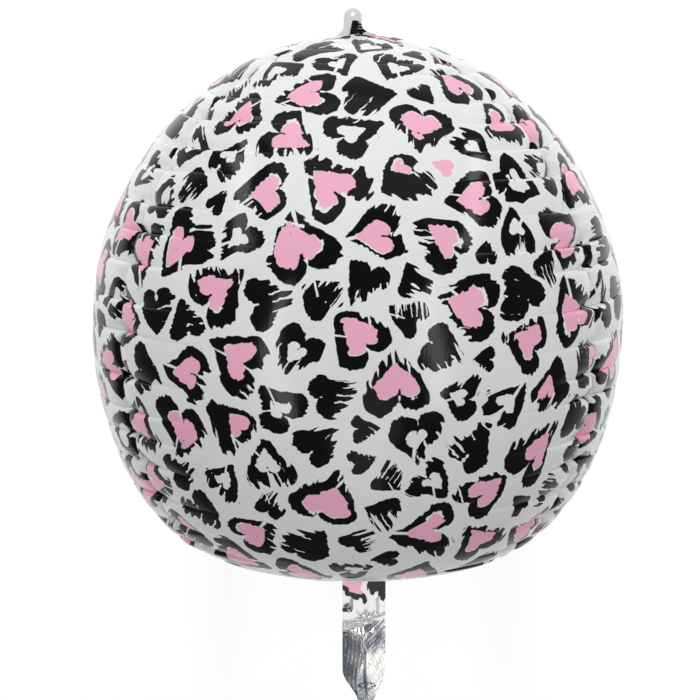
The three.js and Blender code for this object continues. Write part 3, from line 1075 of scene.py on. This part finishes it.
# The floor, lit from below like a light table
FLOOR_HALF_SIDE = 12
FLOOR_PAINT = (0.72, 0.72, 0.72)
FLOOR_ROUGHNESS = 0.9
FLOOR_GLOW = 0.62
FLOOR_GLOW_REACH = (0.50, 1.80)
FLOOR_GLOW_PLACE = -0.075

# Area lights: name, direction and long side in the camera's frame, distance, size, radiance
LIGHTS = (
    ("left_strip", (-0.69, 0.60, 0.40), (0, 0.7, -0.7), 1.6, (0.18, 1.2), 6.4),
    ("left_softbox", (-0.52, -0.16, 0.84), (0, 1, 0), 2.0, (0.22, 1.5), 5.9),
    ("right_strip", (0.69, 0.60, 0.40), (0, 0.7, -0.7), 1.6, (0.18, 1.2), 6.4),
    ("right_softbox", (0.52, -0.16, 0.84), (0, 1, 0), 2.0, (0.22, 1.5), 5.9),
    ("upper_softbox", (0, 0.93, 0.36), (1, 0, 0), 2.4, (3.0, 3.0), 1.0),
    ("neck_card", (0.05, -0.70, 0.71), (1, 0, 0), 2.0, (1.3, 0.6), 1.0),
)
WORLD_LIGHT = (0.225, 0.225, 0.235)


def heart_distance(x, y):
    """Distance outside a heart about 1 wide and high round the middle; negative inside."""
    middle_y = y + HEART_MIDDLE_DROP
    middle = (x * x + middle_y * middle_y).root() - HEART_MIDDLE_RADIUS
    x = x.absolute()
    y = y - HEART_TIP[1]
    way_x, way_y = np.subtract(HEART_LOBE, HEART_TIP)
    share = ((x * way_x + y * way_y) * (1 / (way_x**2 + way_y**2))).clamped()
    aside_x = x - share * way_x
    aside_y = y - share * way_y
    radius = share.power(HEART_SIDE_POWER) * (HEART_RADII[1] - HEART_RADII[0]) + HEART_RADII[0]
    return ((aside_x * aside_x + aside_y * aside_y).root() - radius).least(middle)


def turned(x, y, turn):
    """A place along a direction and aside of it."""
    cosine, sine = turn.cosine(), turn.sine()
    return x * cosine + y * sine, y * cosine - x * sine


def spot_print(shader):
    """Shares of pink and of black ink in the nearest heart spot."""
    x, y, seed = shader.attribute("spot_place")
    window, pink, brush = shader.attribute("spot_ink")
    slot_turn, slot_width, room = shader.attribute("spot_slot")
    slip_x, slip_y, stroke = shader.attribute("spot_offset")
    bend_x, bend_y = shader.noise_pair((x, y, seed), WARP_NOISE)
    warp_x = x + (bend_x - 0.5) * WARP
    warp_y = y + (bend_y - 0.5) * WARP
    along, aside = turned(x, y, stroke)
    rough = shader.noise((x, y, seed), ROUGH_NOISE, detail=1) - 0.5
    fingers = shader.noise((along, aside, seed), FINGER_NOISE).ramp(*FINGER_RAMP)
    spiky = along.ramp(*SPIKY_RAMP)
    fur = shader.noise((along, aside, seed), FUR_NOISE) - 0.5
    furry = along.absolute().ramp(*FUR_RAMP)
    outer = heart_distance(warp_x, warp_y) + rough * ROUGH_EDGE
    outer = outer + fur * (furry * FUR_LENGTHS[1] + FUR_LENGTHS[0])
    outer = outer + (fingers - FINGER_LEVEL) * brush * spiky
    crowded = (room * -1 + SPOT_CLEARANCE) * CROWDED_GAIN + rough * ROUGH_EDGE
    outer = outer.most(crowded + fingers * spiky * CROWDED_FINGERS)
    teeth = shader.noise((aside + TEETH_START, along, seed), TEETH_NOISE, detail=1) - 0.5
    inner = heart_distance((warp_x - slip_x) / window, (warp_y - slip_y) / window)
    inner = (inner + teeth * TEETH_DEPTH + fur * WINDOW_FUR * furry) * window
    slot_along, slot_aside = turned(x, y, slot_turn)
    in_slot = (slot_aside.absolute() + rough * ROUGH_SLOT - slot_width).inside()
    in_slot = in_slot * slot_along.above(SLOT_START) * slot_width.above(LEAST_SLOT)
    comb = aside * COMB_FREQUENCIES[0] + seed * COMB_FREQUENCIES[1]
    comb = (comb + rough * ROUGH_COMB).fraction() - 0.5
    slit_noise = shader.noise((1, aside, seed), SLIT_NOISE) - SLIT_LEVEL
    slit_length = (slit_noise * SLIT_GAIN).least(LONGEST_SLIT) * brush
    in_slit = (comb.absolute() - COMB_HALF_WIDTH).inside(COMB_SOFTNESS)
    in_slit = in_slit * (outer + slit_length).above(0) * spiky.above(0.5)
    in_outer = outer.inside()
    in_inner = inner.inside() * window.above(LEAST_WINDOW)
    pink_edge = inner + (along * PINK_INSET[0] - PINK_INSET[1]).most(0)
    pink_share = in_outer * pink_edge.inside() * pink
    keep = (in_slot * -1 + 1) * (in_slit * -1 + 1)
    black_share = in_outer * (in_inner * -1 + 1) * keep
    return pink_share, black_share


def mottled(shader, waves, grain, mottle, colour, shade):
    """A colour with faint clouds of a darker shade."""
    share = (waves * mottle[0] + grain * mottle[1] + mottle[2]).clamped()
    return shader.mix(share, colour, shade)


def printed_foil_material():
    """White ink with the heart spots, under a glossy clear film."""
    shader = Shader("printed_foil")
    pink_share, black_share = spot_print(shader)
    waves, grain = shader.film_texture()
    white = mottled(shader, waves, grain, WHITE_MOTTLE, WHITE_INK, WHITE_INK_SHADE)
    colour = shader.mix(black_share, shader.mix(pink_share, white, PINK_INK), BLACK_INK)
    shader.link(colour, "Base Color")
    shader.link(black_share * -PEARL + PEARL, "Metallic")
    sheen = black_share * (BLACK_ROUGHNESS - WHITE_ROUGHNESS) + WHITE_ROUGHNESS
    shader.link(sheen + waves * PRINT_CLOUDS, "Roughness")
    shader.bump(waves + grain * GRAIN_SHARE, WAVE_HEIGHT)
    shader.link(FILM_IOR, "IOR")
    shader.link(FILM_SPECULAR, "Specular IOR Level")
    return shader.material


def neck_foil_material():
    """Printed at the top, then plain white film, then bare metal with painted reflections, dark on the
    left and bright on the right.
    """
    shader = Shader("neck_foil")
    pink_share, black_share = spot_print(shader)
    across, distance, _ = shader.attribute("neck_place")
    printed = distance.below(NECK_PRINT_END)
    white = shader.mix(pink_share * printed, NECK_FILM, PINK_INK)
    ink = shader.mix(black_share * printed, white, BLACK_INK)
    # Painted reflections on the bare metal: streaks of painted shade and painted highlight, brighter
    # towards the right side
    reflection_drift = shader.noise((across, distance, 1), PAINTED_REFLECTION_NOISE)
    painted_reflection = (reflection_drift * PAINTED_REFLECTION_GAIN - 1 + across * PAINTED_REFLECTION_LEAN).clamped()
    metal = shader.mix(painted_reflection, METAL_PAINTED_SHADE, METAL_PAINTED_HIGHLIGHT)
    ragged = shader.noise((across, distance, 1), NECK_FILM_NOISE) - 0.5
    past = distance + across * NECK_FILM_SLANT + ragged * NECK_FILM_RAGGED
    bare = (past - NECK_FILM_END).above(0)
    shader.link(shader.mix(bare, ink, metal), "Base Color")
    silvery = (black_share * printed * -1 + 1) * NECK_FILM_SILVER
    shader.link(silvery.most(bare), "Metallic")
    waves, grain = shader.film_texture()
    shader.link(waves * NECK_CLOUDS + NECK_ROUGHNESS, "Roughness")
    shader.bump(waves + grain * (bare * NECK_GRAIN[1] + NECK_GRAIN[0]), FOIL_CRUMPLE)
    return shader.material


def tab_film_material():
    """Milky clear film, printed in places."""
    shader = Shader("tab_film")
    pink_share, black_share = spot_print(shader)
    waves, grain = shader.film_texture()
    milk = mottled(shader, waves, grain, TAB_MOTTLE, TAB_FILM, TAB_FILM_SHADE)
    colour = shader.mix(black_share, shader.mix(pink_share, milk, PINK_INK), BLACK_INK)
    shader.link(colour, "Base Color")
    shader.link(waves * TAB_CLOUDS + TAB_ROUGHNESS, "Roughness")
    shader.link(FILM_IOR, "IOR")
    shader.link(TAB_CLEARNESS, "Transmission Weight")
    shader.bump(waves + grain * TAB_GRAIN, FOIL_CRUMPLE)
    return shader.material


def floor_material():
    """Pale paint with a glow that fades outwards."""
    shader = Shader("floor_paint")
    x, y, _ = shader.position()
    y = y - FLOOR_GLOW_PLACE
    near, far = FLOOR_GLOW_REACH
    glow = (x * x + y * y).root().ramp(-1 / (far - near), far / (far - near))
    shader.link(FLOOR_PAINT, "Base Color")
    shader.link(FLOOR_ROUGHNESS, "Roughness")
    shader.link(0, "Specular IOR Level")
    shader.link((1, 1, 1), "Emission Color")
    shader.link(glow * glow * (glow * -2 + 3) * FLOOR_GLOW, "Emission Strength")
    return shader.material


# Stage, lights and camera

def camera_frame(right, up, back):
    """A direction given in the camera's frame, in the scene's."""
    tilt = radians(CAMERA_TILT)
    return Vector((
        right,
        up * cos(tilt) + back * sin(tilt),
        back * cos(tilt) - up * sin(tilt),
    ))


def make_floor():
    mesh = bpy.data.meshes.new("floor")
    side = FLOOR_HALF_SIDE
    corners = [(-side, -side, 0), (side, -side, 0), (side, side, 0), (-side, side, 0)]
    mesh.from_pydata(corners, [], [(0, 1, 2, 3)])
    mesh.materials.append(floor_material())
    floor = new_object("floor", mesh)


def make_camera():
    shift_x = (PHOTO_SIDE / 2 - EQUATOR_PIXEL[0]) * PHOTO_SCALE
    shift_y = (EQUATOR_PIXEL[1] - PHOTO_SIDE / 2) * PHOTO_SCALE
    data = bpy.data.cameras.new("camera")
    data.sensor_width = SENSOR
    data.lens = SENSOR * CAMERA_DISTANCE / (PHOTO_SIDE * PHOTO_SCALE)
    camera = new_object("camera", data)
    camera.location = BALLOON_MIDDLE + camera_frame(shift_x, shift_y, CAMERA_DISTANCE)
    camera.rotation_euler = (-radians(CAMERA_TILT), 0, 0)
    bpy.context.scene.camera = camera


def make_light(name, direction, along, distance, size, radiance):
    """A soft rectangular light that faces the balloon's middle."""
    way = camera_frame(*direction).normalized()
    long_side = camera_frame(*along)
    long_side = (long_side - way * long_side.dot(way)).normalized()
    data = bpy.data.lights.new(name, "AREA")
    data.shape = "RECTANGLE"
    data.size, data.size_y = size
    data.energy = radiance * pi * size[0] * size[1]
    light = new_object(name, data)
    light.location = BALLOON_MIDDLE + way * distance
    light.rotation_euler = Matrix((long_side.cross(way), long_side, way)).transposed().to_euler()


def make_world():
    world = bpy.data.worlds.new("studio")
    world.use_nodes = True
    world.node_tree.nodes["Background"].inputs[0].default_value = (*WORLD_LIGHT, 1)
    bpy.context.scene.world = world


def main():
    bpy.context.scene.view_settings.view_transform = "Standard"
    make_camera()
    make_floor()
    for light in LIGHTS:
        make_light(*light)
    make_world()
    printed = printed_foil_material()
    for number, panel in enumerate(PANELS):
        panel_piece(panel, PANEL_SEED + number, printed)
    tab_piece(tab_film_material())
    neck_piece(neck_foil_material())


main()
